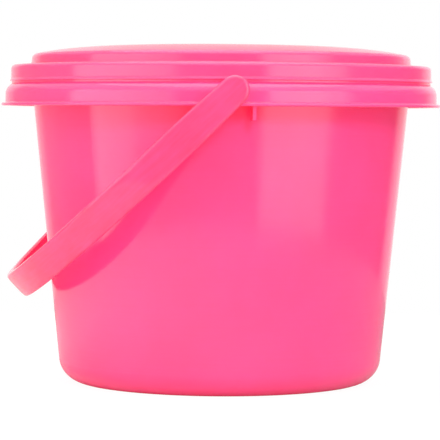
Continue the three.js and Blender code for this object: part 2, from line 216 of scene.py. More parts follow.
pail = {
    "floorRadius": 79.7,
    "rimWallRadius": 94.9,
    "wall": 1.8,
    "floorThickness": 2.0,
    "bottomRound": 12.5,
    "footWidth": 6.0,
    "footOverlap": 1.0,  # on a leaning wall the bottom round begins about this much further out
    "footHeight": 1.2,
    "shoulderHeight": 149.6,
    "ledgeDrop": 2.0,
    "ledgeWidth": 2.6,
    "rimWidth": 6.3,
    "rimRise": 6.9,
    "stepBead": 0.65,
    "stepBeadDrop": 3.2,
    "shoulderFlat": 0.2,
    "shoulderRound": 5.8,
    "skirtDepth": 11.7,
    "skirtDraft": 0.3,
    "lipWidth": 2.2,
    "lipThickness": 1.6,
    "ribThickness": 1.6,
    "ribRoot": 0.6,  # how far ribs reach into the wall, as a share of it
    "earRibSpacing": 19.0,
    "earRibDrop": 6.6,
    "earRibInset": 3.6,
    "rimRibCount": 8,
    "pivotDrop": 4.3,
    "gateRadius": 3.2,
    "gateDrop": 0.5,
    "turnSteps": 192,
}
taper = (pail["rimWallRadius"] - pail["floorRadius"]) / pail["shoulderHeight"]
wall = pail["wall"]
floorTop = pail["footHeight"] + pail["floorThickness"]
shoulderHeight = pail["shoulderHeight"]
ledgeHeight = shoulderHeight - pail["ledgeDrop"]
rimHeight = shoulderHeight + pail["rimRise"]
stepBeadHeight = rimHeight - pail["stepBeadDrop"]
lipHeight = shoulderHeight - pail["skirtDepth"]
pivotHeight = shoulderHeight - pail["pivotDrop"]


# the pail's wall leans outwards as it rises
def outerRadius(height):
    return pail["floorRadius"] + taper * height


def innerRadius(height):
    return outerRadius(height) - wall


mouthRadius = innerRadius(ledgeHeight) + pail["ledgeWidth"]
stepRadius = mouthRadius + pail["rimWidth"]
skirtRadius = stepRadius + pail["shoulderFlat"] + pail["shoulderRound"]
lipRadius = skirtRadius + pail["lipWidth"]

pin = {
    "radius": 2.9,
    "clearance": 0.3,
    "bossWall": 1.3,
    "bossLength": 9.1,
    "bossProud": 1.2,
    "collarWidth": 2.3,
    "barbHook": 0.5,
    "barbLength": 1.7,
    "slot": 1.0,
    "steps": 48,
}
seatGap = 0.3
boreRadius = pin["radius"] + pin["clearance"]
bossRadius = boreRadius + pin["bossWall"]
bossFace = skirtRadius + pin["bossProud"]
barbRadius = boreRadius + pin["barbHook"]
barbFace = bossFace - pin["bossLength"] - seatGap
barbTip = barbFace - pin["barbLength"]


# up the outside from the gate mark under the floor, over the rim, and down the inside
def pailCorners():
    bead, beadHeight = pail["stepBead"], stepBeadHeight
    footInside = pail["floorRadius"] - pail["bottomRound"] - pail["footWidth"]
    footInside += pail["footOverlap"]
    mouthOutside = mouthRadius + wall
    lipTop = lipHeight + pail["lipThickness"]
    skirtFoot = skirtRadius + pail["skirtDraft"]
    gate = pail["gateRadius"]
    return [
        (0, pail["footHeight"] - pail["gateDrop"]),
        (gate - 0.6, pail["footHeight"] - pail["gateDrop"], 0.2),
        (gate, pail["footHeight"], 0.3),
        (footInside - pail["footHeight"], pail["footHeight"], 0.6),
        (footInside, 0, 0.4),
        (pail["floorRadius"], 0, pail["bottomRound"]),
        # out round the tray's ledge, over the mouth and down to the shoulder
        (outerRadius(ledgeHeight - wall), ledgeHeight - wall, 0.5),
        (mouthOutside, ledgeHeight - wall, 0.6),
        (mouthOutside, rimHeight - wall, 0.5),
        (stepRadius - wall, rimHeight - wall, 0.5),
        (stepRadius - wall, shoulderHeight - wall, 0.6),
        (skirtRadius - wall, shoulderHeight - wall, pail["shoulderRound"] - wall),
        (skirtFoot - wall, lipHeight, 0.3),
        # the lip, and back up the outside of the skirt
        (lipRadius, lipHeight, 0.72),
        (lipRadius, lipTop, 0.72),
        (skirtFoot, lipTop, 0.6),
        (skirtRadius, shoulderHeight, pail["shoulderRound"]),
        (stepRadius, shoulderHeight, 0.4),
        (stepRadius, beadHeight - 2 * bead, 0.8),
        (stepRadius + bead, beadHeight, 0.9),
        (stepRadius, beadHeight + 2 * bead, 0.8),
        (stepRadius, rimHeight, 0.9),
        (mouthRadius, rimHeight, 0.9),
        (mouthRadius, ledgeHeight, 0.4),
        (innerRadius(ledgeHeight), ledgeHeight, 0.6),
        (innerRadius(floorTop), floorTop, pail["bottomRound"] - wall),
        (0, floorTop),
    ]


# a rib in the hollow of the rim, from the pail's wall to the skirt; one that hangs below the lip
# comes back from it by the inset
def rimRib(drop, inset):
    inWall = wall * pail["ribRoot"]
    inMouthWall = mouthRadius + wall / 2
    top = shoulderHeight - wall / 2
    bottom = lipHeight + pail["lipThickness"]
    hanging = []
    if drop:
        bottom = lipHeight - drop
        hanging = [(skirtRadius - inset, bottom, 0.8)]
    return plateSolid([(outerRadius(bottom) - inWall, bottom), *hanging,
        (skirtRadius - wall / 2, lipHeight + pail["lipThickness"]),
        (skirtRadius - wall / 2, top, pail["shoulderRound"] - wall / 2),
        (inMouthWall, top),
        (inMouthWall, ledgeHeight - wall / 2),
        (outerRadius(ledgeHeight - wall) - inWall, ledgeHeight - wall / 2),
    ], pail["ribThickness"])


rail = {"length": 22.0, "height": 3.0, "thickness": 1.6, "radius": 40.0, "edgeRound": 0.35}


# two low rails on the floor that hold one edge of the divider
def floorRails(vaneThickness):
    near = vaneThickness / 2 + seatGap
    low = floorTop - pail["floorThickness"] / 2
    start = rail["radius"] - rail["length"] / 2
    pair = []
    for side in (-1, 1):
        edges = sorted((side * near, side * (near + rail["thickness"])))
        pair.append(boxSolid((start, edges[0], low),
                             (start + rail["length"], edges[1], floorTop + rail["height"]),
                             rail["edgeRound"]))
    return gathered(pair)


def makePail(material):
    # two ribs beside each pivot hang below the lip, and the others end above it
    ribs = []
    for turn in (-90, 90):
        for side in (-1, 1):
            rib = rimRib(pail["earRibDrop"], pail["earRibInset"])
            bmesh.ops.translate(rib, vec=(0, side * pail["earRibSpacing"] / 2, 0),
                                verts=rib.verts[:])
            ribs.append(turnedBy(rib, turn))
    for place in range(pail["rimRibCount"]):
        angle = place * 360 / pail["rimRibCount"]
        if angle % 180 == 90:
            continue  # a pivot takes this place
        ribs.append(turnedBy(rimRib(0, 0), angle))
    rails = [turnedBy(floorRails(divider["thickness"]), turn) for turn in (0, 180, 270)]
    bosses = [barSolid(bossRadius, side * bossFace, side * (bossFace - pin["bossLength"]),
                       pivotHeight, pin["steps"]) for side in (-1, 1)]
    boreEnd = bossFace - pin["bossLength"] - pastCut
    bores = [barSolid(boreRadius, side * (bossFace + pastCut), side * boreEnd, pivotHeight,
                      pin["steps"]) for side in (-1, 1)]
    bm = combined(turnedSolid(pailCorners(), pail["turnSteps"]), [
        ("UNION", gathered(ribs + rails + bosses)),
        ("DIFFERENCE", gathered(bores)),
    ])
    return finishedPiece("pail", bm, "bucket", "bucket_body", material)


# Handle, made level with its grip towards -x, then turned down about its pivots

strap = {
    "restAngle": 43.6,
    "reach": 141.8,
    "leg": 41.0,
    "gap": 1.4,
    "thickness": 3.2,
    "width": 15.2,
    "gripWidth": 14.4,
    "gripThickness": 5.0,
    "gripLength": 124.0,
    "gripRamp": 4.0,
    "headRadius": 6.8,
    "edgeRound": 1.3,
    "edgeAngle": 60,
    "crown": 0.45,
    "crownSteps": ((1.9, 0.3), (2.3, 0.15)),  # in from the edge, and up
    "headSteps": 32,
    "legSteps": 16,
    "bowSteps": 96,
}
strapInside = lipRadius + strap["gap"]
strapOutside = strapInside + strap["thickness"]


# places along half of the strap, from the pivot to the middle of the grip: where its outside
# lies, the way in from there, and how wide it is
def strapPlaces():
    places = []
    for step in range(strap["legSteps"]):
        share = step / strap["legSteps"]
        swell = math.sin(share * quarterTurn)
        width = 2 * strap["headRadius"] + (strap["width"] - 2 * strap["headRadius"]) * swell
        places.append((Vector((-strap["leg"] * share, -strapOutside, 0)), Vector((0, 1, 0)), width))
    bow = strap["reach"] - strap["leg"]
    for step in range(strap["bowSteps"] // 2 + 1):
        angle = (step / strap["bowSteps"] - 0.5) * math.pi
        place = Vector((-strap["leg"] - bow * math.cos(angle), strapOutside * math.sin(angle), 0))
        inward = Vector((math.cos(angle) / bow, -math.sin(angle) / strapOutside, 0)).normalized()
        width = strap["width"] + (strap["gripWidth"] - strap["width"]) * math.cos(angle) ** 2
        places.append((place, inward, width))
    return places


# the outer face below its crown: half a disc for the head, and its straight edge drawn along the
# strap; each point keeps the way in, as long as the strap is thick there
def strapFace():
    bm = bmesh.new()
    inwards = bm.verts.layers.float_vector.new("inwards")
    places = strapPlaces()
    crown = strap["crown"]
    bmesh.ops.create_circle(bm, cap_ends=True, radius=strap["headRadius"],
                            segments=strap["headSteps"])
    bmesh.ops.rotate(bm, cent=(0, 0, 0), matrix=Matrix.Rotation(quarterTurn, 3, "X"),
                     verts=bm.verts[:])
    bmesh.ops.translate(bm, vec=places[0][0] + places[0][1] * crown, verts=bm.verts[:])
    bmesh.ops.bisect_plane(bm, geom=bm.verts[:] + bm.edges[:] + bm.faces[:], dist=1e-4,
                           plane_co=(0, 0, 0), plane_no=(-1, 0, 0), clear_outer=True)
    for vert in bm.verts:
        vert[inwards] = (0, strap["thickness"] - crown, 0)
    edge = next(e for e in bm.edges if all(abs(v.co.x) < touching for v in e.verts))
    gripExtra, gripEnd = strap["gripThickness"] - strap["thickness"], strap["gripLength"] / 2
    for place, inward, width in places[1:]:
        inGrip = min(1, max(0, (gripEnd - abs(place.y)) / strap["gripRamp"] + 1))
        grown = bmesh.ops.extrude_edge_only(bm, edges=[edge])["geom"]
        edge = next(g for g in grown if isinstance(g, bmesh.types.BMEdge))
        for vert in edge.verts:
            side = 1 if vert.co.z > 0 else -1
            vert.co = place + inward * crown + Vector((0, 0, side * width / 2))
            vert[inwards] = inward * (strap["thickness"] + gripExtra * inGrip - crown)
    return bm, inwards


# the whole strap: its face made thick, mirrored, crowned and softened along its edges
def strapSolid():
    bm, inwards = strapFace()
    outside = bm.faces[:]
    grown = bmesh.ops.extrude_face_region(bm, geom=outside, use_keep_orig=True)["geom"]
    for face in outside:
        face.material_index = 1
    for vert in (g for g in grown if isinstance(g, bmesh.types.BMVert)):
        vert.co += vert[inwards]
    # the other half is a mirror image, and the wall between the halves goes
    between = [f for f in bm.faces if all(abs(v.co.y) < touching for v in f.verts)]
    bmesh.ops.delete(bm, geom=between, context="FACES_ONLY")
    bmesh.ops.mirror(bm, geom=bm.verts[:] + bm.edges[:] + bm.faces[:],
                     matrix=Matrix.Identity(4), merge_dist=touching, axis="Y")
    closed(bm)
    for width, rise in strap["crownSteps"]:
        flat = [f for f in bm.faces if f.material_index]
        ring = bmesh.ops.inset_region(bm, faces=flat, thickness=width, depth=rise,
                                      use_boundary=True, use_even_offset=True)["faces"]
        for face in ring:
            face.material_index = 0
    for face in bm.faces:
        face.material_index = 0
    sharpest = math.radians(strap["edgeAngle"])
    rims = [e for e in bm.edges if len(e.link_faces) == 2
            and e.link_faces[0].normal.angle(e.link_faces[1].normal) > sharpest]
    bmesh.ops.bevel(bm, geom=rims, offset=strap["edgeRound"], offset_type="OFFSET",
                    affect="EDGES", segments=5, profile=0.5, material=-1, clamp_overlap=True)
    return bm


# collar, pin and split barb on the inside of one head
def snapPin(side):
    root = strapInside + strap["thickness"] / 2
    collarFace = bossFace + seatGap
    collarRadius = pin["radius"] + pin["collarWidth"]
    bm = turnedSolid([
        (0, barbTip),
        (pin["radius"] - pin["slot"] / 2, barbTip, 0.3),
        (barbRadius, barbFace - pin["barbLength"] / 3, 0.3),
        (barbRadius, barbFace),
        (pin["radius"], barbFace),
        (pin["radius"], collarFace),
        (collarRadius, collarFace, 0.3),
        (collarRadius, root),
        (0, root),
    ], pin["steps"])
    bmesh.ops.rotate(bm, cent=(0, 0, 0), matrix=Matrix.Rotation(-side * quarterTurn, 3, "X"),
                     verts=bm.verts[:])
    return bm


def makeHandle(material):
    half, reach = pin["slot"] / 2, barbRadius + pastCut
    slots = []
    for side in (-1, 1):
        ends = sorted((side * (barbTip - pastCut), side * (barbFace + pin["bossLength"] / 2)))
        slots.append(boxSolid((-half, ends[0], -reach), (half, ends[1], reach)))
    pins = combined(gathered([snapPin(-1), snapPin(1)]), [("DIFFERENCE", gathered(slots))])
    bm = combined(strapSolid(), [("UNION", pins)])
    bmesh.ops.rotate(bm, cent=(0, 0, 0), verts=bm.verts[:],
                     matrix=Matrix.Rotation(math.radians(-strap["restAngle"]), 3, "Y"))
    bmesh.ops.translate(bm, vec=(0, 0, pivotHeight), verts=bm.verts[:])
    return finishedPiece("strap_handle", bm, "handle", "handle", material)


# Lid

lid = {
    "wall": 1.5,
    "crownStep": 10.0,
    "crownRise": 4.7,
    "crownInset": 1.0,
    "crownDraft": 0.8,
    "crownRound": 2.4,
    "domeFullness": 4.4,
    "domeSteps": 16,
    "domeCrowding": 1.6,  # above 1 the steps crowd towards the edge
    "skirtGap": 0.5,
    "skirtSeat": 0.12,
    "footInset": 0.3,
    "skirtRound": 2.0,
    "flare": 0.5,
    "clearance": 0.4,
    "bead": 1.5,
    "beadDrop": 2.1,
    "plugGap": 0.7,
    "turnSteps": 192,
}
deckHeight = rimHeight + seatGap + lid["wall"]
crownHeight = deckHeight + lid["crownStep"]
crownRadius = mouthRadius - lid["crownInset"]
trayWall = 1.6
flangeTop = ledgeHeight + seatGap + trayWall


# the crown is nearly flat in the middle and falls away towards its edge
def domeHeight(radius):
    return crownHeight - lid["crownRise"] * (radius / crownRadius) ** lid["domeFullness"]


# how high the pail's rounded shoulder is at a radius
def shoulderSurface(radius):
    bend = pail["shoulderRound"]
    pastFlat = radius - stepRadius - pail["shoulderFlat"]
    return shoulderHeight - bend + math.sqrt(bend ** 2 - pastFlat ** 2)


# out over the dome, down the outside, and back along the inside
def lidCorners():
    thick, flare = lid["wall"], lid["flare"]
    skirtOutside = stepRadius + lid["clearance"] + lid["bead"] + thick
    skirtInside = skirtOutside - thick
    skirtBottom = shoulderHeight + lid["skirtGap"]
    skirtFoot = skirtOutside - lid["footInset"]
    beadInside = stepRadius + lid["clearance"]
    beadHeight = stepBeadHeight - lid["beadDrop"]
    plugOutside = mouthRadius - lid["clearance"]
    plugInside = plugOutside - thick
    plugBottom = flangeTop + lid["plugGap"]
    # the dome's own points stop short of its rounded edge
    underDome = crownRadius - thick
    domeEnd, underEnd = crownRadius - lid["crownRound"], underDome - thick
    steps = lid["domeSteps"]
    shares = [1 - (1 - step / steps) ** lid["domeCrowding"] for step in range(steps + 1)]
    dome = [(domeEnd * share, domeHeight(domeEnd * share)) for share in shares]
    under = [(underEnd * share, domeHeight(underEnd * share) - thick) for share in shares]
    return dome + [
        (crownRadius, domeHeight(crownRadius), lid["crownRound"]),
        (crownRadius + lid["crownDraft"], deckHeight, 0.7),
        # the deck over the rim, and the skirt with its flared edge
        (skirtOutside, deckHeight, lid["skirtRound"]),
        (skirtOutside, skirtBottom + 3 * flare, 1.0),
        (skirtOutside + flare, skirtBottom + flare, 0.25),
        (skirtOutside + flare, skirtBottom, 0.2),
        # set back below its edge, the skirt comes down to just above the pail's rounded shoulder
        (skirtFoot, skirtBottom, 0.2),
        (skirtFoot, shoulderSurface(skirtFoot) + lid["skirtSeat"], 0.1),
        (skirtInside, shoulderSurface(skirtInside) + lid["skirtSeat"], 0.1),
        # the bead that holds under the pail's, the channel over the rim, and the plug ring
        (beadInside, beadHeight - lid["clearance"], 0.35),
        (beadInside, beadHeight + lid["clearance"], 0.35),
        (skirtInside, beadHeight + thick, 0.6),
        (skirtInside, deckHeight - thick, 0.6),
        (plugOutside, deckHeight - thick, 0.4),
        (plugOutside, plugBottom, 0.6),
        (plugInside, plugBottom, 0.3),
        (plugInside, deckHeight - thick, 0.8),
        (underDome, domeHeight(underDome) - thick, 0.9),
    ] + under[::-1]


def makeLid(material):
    bm = turnedSolid(lidCorners(), lid["turnSteps"])
    return finishedPiece("domed_lid", bm, "lid", "lid", material)


# Palette tray

tray = {
    "depth": 12.0,
    "draft": 4.0,
    "clearance": 0.5,
    "ribThickness": 1.8,
    "tabWidth": 34.0,
    "tabHeight": 12.0,
    "tabThickness": 2.4,
    "tabRound": 6.0,
    "edgeRound": 0.35,
    "turnSteps": 160,
}
flangeBottom = ledgeHeight + seatGap
dishRadius = innerRadius(ledgeHeight) - tray["clearance"]
dishBottom = flangeBottom - tray["depth"]


# the dish and its flange, which lies on the ledge
def trayCorners():
    flangeRadius = mouthRadius - tray["clearance"]
    floorEdge = dishRadius - tray["draft"]
    thick = trayWall
    return [
        (0, dishBottom),
        (floorEdge - 0.5 * thick, dishBottom, 2.0),
        (dishRadius, flangeBottom, 0.4),
        (flangeRadius, flangeBottom, 0.4),
        (flangeRadius, flangeTop, 0.5),
        (dishRadius - thick, flangeTop, 0.7),
        (floorEdge - 1.4 * thick, dishBottom + thick, 2.4),
        (0, dishBottom + thick),
    ]


# the middle wall parts off the mixing well, and two more part the three paint wells behind it
def makeTray(material):
    low = dishBottom + trayWall / 2
    walls = []
    for angle in (60, 120):
        walls.append(turnedBy(plateSolid([
            (0, low),
            (dishRadius - tray["draft"] - trayWall, low),
            (dishRadius - trayWall / 2, flangeBottom),
            (0, flangeBottom),
        ], tray["ribThickness"], tray["edgeRound"]), angle))
    reach = dishRadius - tray["draft"] - trayWall
    middle = plateSolid([
        (-reach, low),
        (reach, low),
        (dishRadius - trayWall / 2, flangeBottom),
        (trayWall / 2 - dishRadius, flangeBottom),
    ], tray["ribThickness"], tray["edgeRound"])
    half, top = tray["tabWidth"] / 2, flangeTop + tray["tabHeight"]
    tab = plateSolid([
        (-half, low),
        (half, low),
        (half, top, tray["tabRound"]),
        (-half, top, tray["tabRound"]),
    ], tray["tabThickness"], tray["edgeRound"])
    bm = combined(turnedSolid(trayCorners(), tray["turnSteps"]),
                  [("UNION", part) for part in [middle, *walls, tab]])
    return finishedPiece("paint_tray", bm, "tray", "palette_tray", material)


# Divider

divider = {
    "thickness": 2.0,
    "topGap": 4.4,
    "clearance": 0.8,
    "ridgeCount": 12,
    "ridgePitch": 7.0,
    "ridgeStart": 16.0,
    "ridgeLength": 96.0,
    "ridgeProud": 1.2,
    "edgeRound": 0.35,
}
dividerBottom = floorTop + seatGap
dividerTop = dishBottom - divider["topGap"]


# a T seen from above: one vane across the pail, and one from its middle to the front
def makeDivider(material):
    edge = pail["bottomRound"] - wall
    topRadius = innerRadius(dividerTop) - divider["clearance"]
    footRadius = innerRadius(dividerBottom) - divider["clearance"]
    thick, rim = divider["thickness"], divider["edgeRound"]
    across = plateSolid([
        (-footRadius, dividerBottom, edge),
        (footRadius, dividerBottom, edge),
        (topRadius, dividerTop, edge / 2),
        (-topRadius, dividerTop, edge / 2),
    ], thick, rim)
    half = turnedBy(plateSolid([
        (0, dividerBottom),
        (footRadius, dividerBottom, edge),
        (topRadius, dividerTop, edge / 2),
        (0, dividerTop),
    ], thick, rim), 270)
    # scrubbing ridges, one above another on the side of the large compartment
    ridges = []
    for place in range(divider["ridgeCount"]):
        height = divider["ridgeStart"] + place * divider["ridgePitch"]
        proud = divider["ridgeProud"]
        ridge = plateSolid([
            (0, -proud),
            (thick / 4 + proud, 0, 0.5),
            (0, proud),
        ], divider["ridgeLength"])
        turnedBy(ridge, 90)
        bmesh.ops.translate(ridge, vec=(0, thick / 4, height), verts=ridge.verts[:])
        ridges.append(ridge)
    bm = combined(across, [("UNION", half), ("UNION", gathered(ridges))])
    return finishedPiece("rinse_divider", bm, "divider", "wash_divider", material)


# Materials

noiseLow, noiseHigh = 0.3, 0.7  # nearly all of a noise texture lies between these


# a colour as it is written, turned to the linear values that sockets take
def linear(hexColour):
    channels = [int(hexColour[i:i + 2], 16) / 255 for i in (1, 3, 5)]
    return [c / 12.92 if c <= 0.04045 else ((c + 0.055) / 1.055) ** 2.4 for c in channels] + [1]


# a new material without nodes, and its node tree
def emptyMaterial(name):
    material = bpy.data.materials.new(name)
    material.use_nodes = True
    material.node_tree.nodes.clear()
    return material, material.node_tree


# adds a node, sets its values and links what feeds its sockets
def addNode(tree, kind, links=None, sockets=None, **settings):
    node = tree.nodes.new(kind)
    for key, value in settings.items():
        setattr(node, key, value)
    for key, value in (sockets or {}).items():
        node.inputs[key].default_value = value
    for key, source in (links or {}).items():
        tree.links.new(source, node.inputs[key])
    return node


# moulded polypropylene: a glossy skin with a faint peel and soft flow marks, light that travels
# a few millimetres into the wall, and a painted red glow, even all over, that stands in for light
# coming through the wall and keeps its shadows warm
def mouldedPolypropylene(name, look):
    material, tree = emptyMaterial(name)
    place = addNode(tree, "ShaderNodeTexCoord").outputs["Object"]
    flow = addNode(tree, "ShaderNodeTexNoise", {"Vector": place},
                   {"Scale": 1 / (look["flowSize"] * mm), "Detail": 3.0, "Roughness": 0.5})
    # fine drawn-out marks, as wiping and sliding leave them: around the pail, along the strap
    drawn = addNode(tree, "ShaderNodeMapping", {"Vector": place},
                    {"Rotation": (0, math.radians(look["streakTurn"]), 0),
                     "Scale": [mm * size for size in look["streakSize"]]}, vector_type="TEXTURE")
    streak = addNode(tree, "ShaderNodeTexNoise", {"Vector": drawn.outputs["Vector"]},
                     {"Scale": 1.0, "Detail": 2.0, "Roughness": 0.6})
    marks = addNode(tree, "ShaderNodeMix", {"A": flow.outputs["Fac"], "B": streak.outputs["Fac"]},
                    {"Factor": look["streakShare"]})
    tint = addNode(tree, "ShaderNodeMapRange", {"Value": marks.outputs["Result"]},
                   {"From Min": noiseLow, "From Max": noiseHigh})
    colour = addNode(tree, "ShaderNodeMix", {"Factor": tint.outputs["Result"]},
                     {"A": linear(look["colour"]), "B": linear(look["flowColour"])},
                     data_type="RGBA")
    peel = addNode(tree, "ShaderNodeTexNoise", {"Vector": place},
                   {"Scale": 1 / (look["peelSize"] * mm), "Detail": 2.0, "Roughness": 0.6})
    gloss = addNode(tree, "ShaderNodeMapRange", {"Value": peel.outputs["Fac"]},
                    {"From Min": noiseLow, "From Max": noiseHigh, "To Min": look["glossLow"],
                     "To Max": look["glossHigh"]})
    bump = addNode(tree, "ShaderNodeBump", {"Height": peel.outputs["Fac"]},
                   {"Strength": 1.0, "Distance": look["peelDepth"] * mm})
    scored = addNode(tree, "ShaderNodeBump",
                     {"Height": streak.outputs["Fac"], "Normal": bump.outputs["Normal"]},
                     {"Strength": 1.0, "Distance": look["streakDepth"] * mm})
    wave = addNode(tree, "ShaderNodeBump",
                   {"Height": flow.outputs["Fac"], "Normal": scored.outputs["Normal"]},
                   {"Strength": 1.0, "Distance": look["waveDepth"] * mm})
    # the emission is a painted red glow, the same all over, that stands in for light coming through
    # the wall and keeps the shade red
    shader = addNode(tree, "ShaderNodeBsdfPrincipled",
                     {"Base Color": colour.outputs["Result"],
                      "Roughness": gloss.outputs["Result"],
                      "Normal": wave.outputs["Normal"]},
                     {"IOR": 1.49, "Specular IOR Level": look["specular"],
                      "Subsurface Weight": look["glow"],
                      "Subsurface Radius": look["glowRadius"],
                      "Subsurface Scale": look["glowDepth"] * mm,
                      "Emission Color": linear(look["paintedGlowColour"]),
                      "Emission Strength": look["paintedGlow"]})
    addNode(tree, "ShaderNodeOutputMaterial", {"Surface": shader.outputs["BSDF"]})
    return material


pinkLook = {
    "colour": "#ff4a8d",
    "flowColour": "#ff5097",
    "flowSize": 45.0,
    "streakSize": (40.0, 40.0, 0.8),
    "streakTurn": 0.0,
    "streakShare": 0.2,
    "streakDepth": 0.0015,
    "peelSize": 1.6,
    "peelDepth": 0.004,
    "waveDepth": 0.12,
    "glossLow": 0.09,
    "glossHigh": 0.15,
    "specular": 0.9,
    "glow": 0.35,
    "glowRadius": (1.0, 0.12, 0.22),
    "glowDepth": 6.0,
    # a painted red glow, even all over, that keeps the red up in shaded places
    "paintedGlowColour": "#ff0010",
    "paintedGlow": 0.17,
}
# the lid's pink is a shade warmer than the pail's, and that of the strap, a thicker moulding, is
# warmer still, with its marks drawn out along it
lidLook = dict(pinkLook, colour="#ff4a88", flowColour="#ff5091")
handleLook = dict(pinkLook, colour="#ff4275", flowColour="#ff528f", flowSize=16.0,
                  waveDepth=0.05, streakSize=(18.0, 18.0, 2.0), streakTurn=-strap["restAngle"],
                  streakShare=0.5, streakDepth=0.002)
# the tray's skin is duller, with broad soft highlights, and its white has no painted glow
whiteLook = dict(pinkLook, colour="#e6e3dc", flowColour="#e1ddd4", glossLow=0.22, glossHigh=0.34,
                 specular=0.5, glow=0.2, glowRadius=(1.0, 0.9, 0.8), glowDepth=3.0, paintedGlow=0.0)


# Stage: a round white table in a ring of grey cloth, which has a soft box on either side and is
# white behind the pail, with one more soft box overhead

stage = {
    "tableRadius": 420.0,
    "tableDrop": 0.05,
    "tableWhite": 0.88,
    "tableFade": (130.0, 300.0),
    "tableGlow": 1.08,
    # a painted pool of light on the table's paint, as if lit from the left: how light it is at its
    # brightest place, and how far from there it is darkest; the gloss and the bounce light show it
    "paintedLightPlace": (-260.0, -20.0, 0.0),
    "paintedLightReach": 450.0,
    "paintedLightNear": 1.0,
    "paintedLightFar": 0.4,
    "ringRadius": 1700.0,
    "ringReach": 1500.0,
    "ringTop": 3.0,
    "ringMiddleFade": (-260.0, 0.0),
    "ringHighFade": (60.0, 380.0),
    "ringPlainFade": (800.0, 1000.0),
    # how bright the ring is, 1 being white, by degrees from the camera, to its right: below the
    # pail's level, at it and above it, and higher up, where it is plain; each fades into the next
    # between two heights
    "ringLow": ((-170, 1.0), (-158, 0.75), (-145, 0.72), (-140, 0.3), (-86, 0.3), (-80, 1.6),
                (-70, 1.3), (-57, 1.0), (-50, 0.35), (-13, 0.25), (21, 0.25), (27, 1.3), (64, 1.2),
                (72, 0.25), (132, 0.15), (139, 0.65), (158, 0.75), (170, 1.0)),
    "ringMiddle": ((-170, 1.0), (-155, 0.7), (-145, 0.6), (-138, 0.42), (-86, 0.5), (-80, 1.9),
                   (-50, 2.0), (-27, 1.3), (-20, 0.4), (-13, 0.25), (21, 0.25), (27, 1.85),
                   (44, 2.1), (50, 2.1), (58, 1.65), (64, 1.5), (72, 0.5), (79, 0.15), (133, 0.1),
                   (142, 0.65), (155, 0.85), (168, 1.1)),
    "ringHigh": ((-176, 0.7), (-168, 1.0), (-150, 0.88), (-143, 0.75), (-137, 0.42), (-86, 0.5),
                 (-80, 1.8), (-50, 1.6), (-27, 1.0), (-20, 0.3), (21, 0.2), (27, 1.75), (40, 2.1),
                 (46, 2.1), (52, 2.1), (57, 1.6), (64, 1.4), (72, 0.4), (112, 0.22), (124, 0.33),
                 (136, 0.6), (148, 1.05), (168, 1.05), (176, 0.7)),
    "ringPlain": ((-180, 0.85), (180, 0.85)),
    "ceilingRadius": 900.0,
    "ceilingHeight": 1400.0,
    "ceilingLevel": 2.1,
}


# 1 on what the camera sees itself, in the gloss or through a wall, and 0 in the light it gives
def seenDirectly(tree):
    path = addNode(tree, "ShaderNodeLightPath").outputs
    seen = addNode(tree, "ShaderNodeMath", {0: path["Is Camera Ray"], 1: path["Is Glossy Ray"]},
                   operation="MAXIMUM")
    return addNode(tree, "ShaderNodeMath", {0: seen.outputs[0], 1: path["Is Transmission Ray"]},
                   operation="MAXIMUM").outputs[0]


# the finished table, ring or box, which isn't part of the bucket
def stageObject(name, bm, material):
    bmesh.ops.scale(bm, vec=(mm, mm, mm), verts=bm.verts[:])
    mesh = bpy.data.meshes.new(name)
    bm.to_mesh(mesh)
    bm.free()
    mesh.materials.append(material)
    thing = bpy.data.objects.new(name, mesh)
    bpy.context.scene.collection.objects.link(thing)
    print("made", name)
    return thing


# to the camera it is mostly plain white, wholly so away from the pail, and the rest shows shadow;
# the gloss and the bounce light see its paint, which carries a painted pool of light
def makeTable():
    bm = bmesh.new()
    bmesh.ops.create_circle(bm, cap_ends=True, radius=stage["tableRadius"], segments=128)
    bmesh.ops.translate(bm, vec=(0, 0, -stage["tableDrop"]), verts=bm.verts[:])
    material, tree = emptyMaterial("white table with painted light")
    fadeStart, fadeEnd = stage["tableFade"]
    place = addNode(tree, "ShaderNodeTexCoord").outputs["Object"]
    away = addNode(tree, "ShaderNodeVectorMath", {0: place}, operation="LENGTH")
    share = addNode(tree, "ShaderNodeMapRange", {"Value": away.outputs["Value"]},
                    {"From Min": fadeStart * mm, "From Max": fadeEnd * mm,
                     "To Min": stage["tableWhite"], "To Max": 1.0})
    white = addNode(tree, "ShaderNodeMath",
                    {0: addNode(tree, "ShaderNodeLightPath").outputs["Is Camera Ray"],
                     1: share.outputs["Result"]}, operation="MULTIPLY")
    # painted light: the paint is lightest at one place to the left and darker away from it, as if
    # lit from there
    fallOff = addNode(tree, "ShaderNodeVectorMath", {0: place},
                      {1: [mm * part for part in stage["paintedLightPlace"]]}, operation="DISTANCE")
    grey = addNode(tree, "ShaderNodeMapRange", {"Value": fallOff.outputs["Value"]},
                   {"From Max": stage["paintedLightReach"] * mm, "To Min": stage["paintedLightNear"],
                    "To Max": stage["paintedLightFar"]})
    paint = addNode(tree, "ShaderNodeBsdfDiffuse", {"Color": grey.outputs["Result"]})
    glow = addNode(tree, "ShaderNodeEmission", sockets={"Strength": stage["tableGlow"]})
    both = addNode(tree, "ShaderNodeMixShader",
                   {0: white.outputs[0], 1: paint.outputs[0], 2: glow.outputs[0]})
    # from below it isn't there, so that the pail's foot can be seen
    clear = addNode(tree, "ShaderNodeBsdfTransparent")
    below = addNode(tree, "ShaderNodeNewGeometry").outputs["Backfacing"]
    sided = addNode(tree, "ShaderNodeMixShader",
                    {0: below, 1: both.outputs[0], 2: clear.outputs[0]})
    addNode(tree, "ShaderNodeOutputMaterial", {"Surface": sided.outputs[0]})
    stageObject("table", bm, material)


# colours by the share of a turn, from stops of (degrees, level)
def levelRamp(tree, angle, levels):
    ramp = addNode(tree, "ShaderNodeValToRGB", {"Fac": angle})
    stops = ramp.color_ramp.elements
    while len(stops) < len(levels):
        stops.new(1)
    for stop, (degrees, level) in zip(stops, levels):
        stop.position = 0.5 + degrees / 360
        stop.color = [level / stage["ringTop"]] * 3 + [1]
    return ramp.outputs["Color"]


